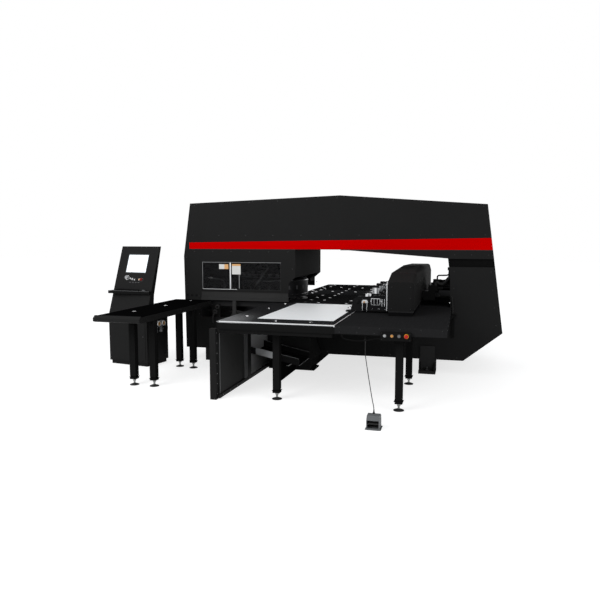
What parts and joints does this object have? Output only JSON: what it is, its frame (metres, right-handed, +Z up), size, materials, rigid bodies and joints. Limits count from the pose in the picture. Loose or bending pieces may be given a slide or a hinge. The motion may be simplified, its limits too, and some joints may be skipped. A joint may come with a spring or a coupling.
{
  "type": "cnc turret punch press",
  "caption": "Closed-frame turret punch press with through throat, sliding cross-beam and sheet clamps, ball tables, window, operator console and foot pedal.",
  "frame": {"origin": "on the floor, midway between the four anchor bolts of the machine frame", "axes": "+X to the operator's right along the frame, +Y away from the operator to the back, +Z up"},
  "size_m": [5.341, 6.129, 2.348],
  "materials": {
    "cover_enamel": "dark grey satin enamel, sRGB about 34",
    "black_enamel": "black satin enamel",
    "stripe_red": "red gloss stripe",
    "frame_paint": "dark grey enamel on welded plate",
    "grey_enamel": "mid grey satin enamel",
    "table_plate": "dark coated steel plate",
    "plain_plate": "black coated sheet steel",
    "bright_steel": "ground and brushed steel",
    "tool_steel": "hardened tool steel, oiled",
    "turret_steel": "dark turned steel",
    "screw_steel": "ground ball screw steel",
    "aluminium_strip": "extruded aluminium strip",
    "smoked_pane": "smoked acrylic pane",
    "sheet_metal": "bright sheet blank",
    "rubber_black": "black rubber",
    "plastic_black": "black moulded plastic",
    "plastic_grey": "grey moulded plastic",
    "screen_glow": "lit flat screen",
    "button_white": "white button cap",
    "button_amber": "amber button cap",
    "button_grey": "grey button cap",
    "button_red": "red mushroom cap",
    "pedal_paint": "black pedal housing",
    "zinc_foot": "zinc plated steel"
  },
  "bodies": {
    "machine": {"frame_weldment": "frame_paint", "roof_cover": "cover_enamel", "throat_liner": "black_enamel", "front_covers": "cover_enamel", "turret_cover": "cover_enamel", "column_cover": "cover_enamel", "rear_covers": "cover_enamel", "red_stripe": "stripe_red", "fixed_window": "smoked_pane", "pedestals": "black_enamel", "end_stops": "black_enamel", "ram_housing": "tool_steel", "drive_chains": "turret_steel", "servo_motors": "plastic_black", "ball_tables": "table_plate", "plain_tables": "plain_plate", "centre_table": "table_plate", "edge_strips": "aluminium_strip", "front_table_frame": "grey_enamel", "rear_table_frame": "grey_enamel", "table_legs": "black_enamel", "levelling_feet": "zinc_foot", "guard_frame": "grey_enamel", "guard_panels": "grey_enamel", "scrap_bin": "black_enamel", "scrap_chute": "grey_enamel", "side_table_frame": "grey_enamel", "base_rails": "bright_steel", "console_cabinet": "cover_enamel", "console_head": "cover_enamel", "console_screen": "screen_glow", "console_shelf": "plastic_black", "air_service_unit": "plastic_grey", "button_box": "plastic_black", "pedal_guard": "pedal_paint", "pedal_cord": "rubber_black"},
    "beam": {"saddles": "black_enamel", "beam_girder": "frame_paint", "beam_cover": "cover_enamel", "beam_rails": "bright_steel"},
    "beam_screw": {"beam_screw": "screw_steel"},
    "carriage_screw": {"carriage_screw": "screw_steel"},
    "carriage": {"carriage": "bright_steel", "clamp_bodies": "bright_steel", "work_sheet": "sheet_metal"},
    "clamp_jaws": {"clamp_jaws": "tool_steel"},
    "upper_turret": {"upper_turret": "turret_steel", "punch_tools": "tool_steel"},
    "lower_turret": {"lower_turret": "turret_steel"},
    "drive_shaft": {"drive_shaft": "bright_steel"},
    "ram": {"ram": "bright_steel"},
    "active_punch": {"active_punch": "tool_steel"},
    "window": {"window_pane": "smoked_pane"},
    "treadle": {"pedal_treadle": "rubber_black"},
    "start_button": {"start_button": "button_white"},
    "hold_button": {"hold_button": "button_amber"},
    "clamp_button": {"clamp_button": "button_grey"},
    "box_estop": {"box_estop": "button_red"},
    "console_dial": {"console_dial": "bright_steel"},
    "console_estop": {"console_estop": "button_red"}
  },
  "joints": [
    {"name": "beam_travel", "type": "slide", "parent": "machine", "child": "beam", "axis": [1, 0, 0], "range_m": [-0.9, 0.02]},
    {"name": "carriage_travel", "type": "slide", "parent": "beam", "child": "carriage", "axis": [0, 1, 0], "range_m": [-0.03, 2.3]},
    {"name": "beam_screw_spin", "type": "hinge", "parent": "machine", "child": "beam_screw", "pos_m": [0, 0.65, 0.65], "axis": [1, 0, 0], "range_deg": [-8200, 200]},
    {"name": "carriage_screw_spin", "type": "hinge", "parent": "beam", "child": "carriage_screw", "pos_m": [0.905, 0, 1.092], "axis": [0, 1, 0], "range_deg": [-300, 20800]},
    {"name": "clamp_open", "type": "hinge", "parent": "carriage", "child": "clamp_jaws", "pos_m": [0.492, -1.22, 1.01], "axis": [0, 1, 0], "range_deg": [0, 12]},
    {"name": "upper_turret_spin", "type": "hinge", "parent": "machine", "child": "upper_turret", "pos_m": [-1.13, 0, 1], "axis": [0, 0, 1], "continuous": true},
    {"name": "lower_turret_spin", "type": "hinge", "parent": "machine", "child": "lower_turret", "pos_m": [-1.13, 0, 0.8], "axis": [0, 0, 1], "continuous": true},
    {"name": "drive_shaft_spin", "type": "hinge", "parent": "machine", "child": "drive_shaft", "pos_m": [-1.5, 0.64, 0.9], "axis": [0, 0, 1], "continuous": true},
    {"name": "ram_stroke", "type": "slide", "parent": "machine", "child": "ram", "axis": [0, 0, 1], "range_m": [-0.032, 0]},
    {"name": "punch_stroke", "type": "slide", "parent": "upper_turret", "child": "active_punch", "axis": [0, 0, 1], "range_m": [-0.032, 0]},
    {"name": "window_slide", "type": "slide", "parent": "machine", "child": "window", "axis": [1, 0, 0], "range_m": [-0.34, 0]},
    {"name": "treadle_press", "type": "hinge", "parent": "machine", "child": "treadle", "pos_m": [0.94, -3.226, 0.034], "axis": [1, 0, 0], "range_deg": [0, 11], "stiffness_Nm_per_rad": 6, "springref_deg": -14.32},
    {"name": "start_button_press", "type": "slide", "parent": "machine", "child": "start_button", "axis": [0, 1, 0], "range_m": [0, 0.005], "stiffness_N_per_m": 400, "springref_m": -0.002},
    {"name": "hold_button_press", "type": "slide", "parent": "machine", "child": "hold_button", "axis": [0, 1, 0], "range_m": [0, 0.005], "stiffness_N_per_m": 400, "springref_m": -0.002},
    {"name": "clamp_button_press", "type": "slide", "parent": "machine", "child": "clamp_button", "axis": [0, 1, 0], "range_m": [0, 0.005], "stiffness_N_per_m": 400, "springref_m": -0.002},
    {"name": "box_estop_press", "type": "slide", "parent": "machine", "child": "box_estop", "axis": [0, 1, 0], "range_m": [0, 0.005], "stiffness_N_per_m": 400, "springref_m": -0.002},
    {"name": "console_dial_turn", "type": "hinge", "parent": "machine", "child": "console_dial", "pos_m": [-2.8917, -1.2001, 1.219], "axis": [-0.1645, -0.9331, 0.3198], "range_deg": [-150, 150]},
    {"name": "console_estop_press", "type": "slide", "parent": "machine", "child": "console_estop", "axis": [0.1645, 0.9331, -0.3198], "range_m": [0, 0.005], "stiffness_N_per_m": 400, "springref_m": -0.002}
  ],
  "couplings": [
    {"joint": "beam_screw_spin", "follows": "beam_travel", "rad_per_m": 157.08},
    {"joint": "carriage_screw_spin", "follows": "carriage_travel", "rad_per_m": 157.08},
    {"joint": "lower_turret_spin", "follows": "upper_turret_spin", "ratio": 1},
    {"joint": "drive_shaft_spin", "follows": "upper_turret_spin", "ratio": 3.3333},
    {"joint": "punch_stroke", "follows": "ram_stroke", "ratio": 1}
  ]
}
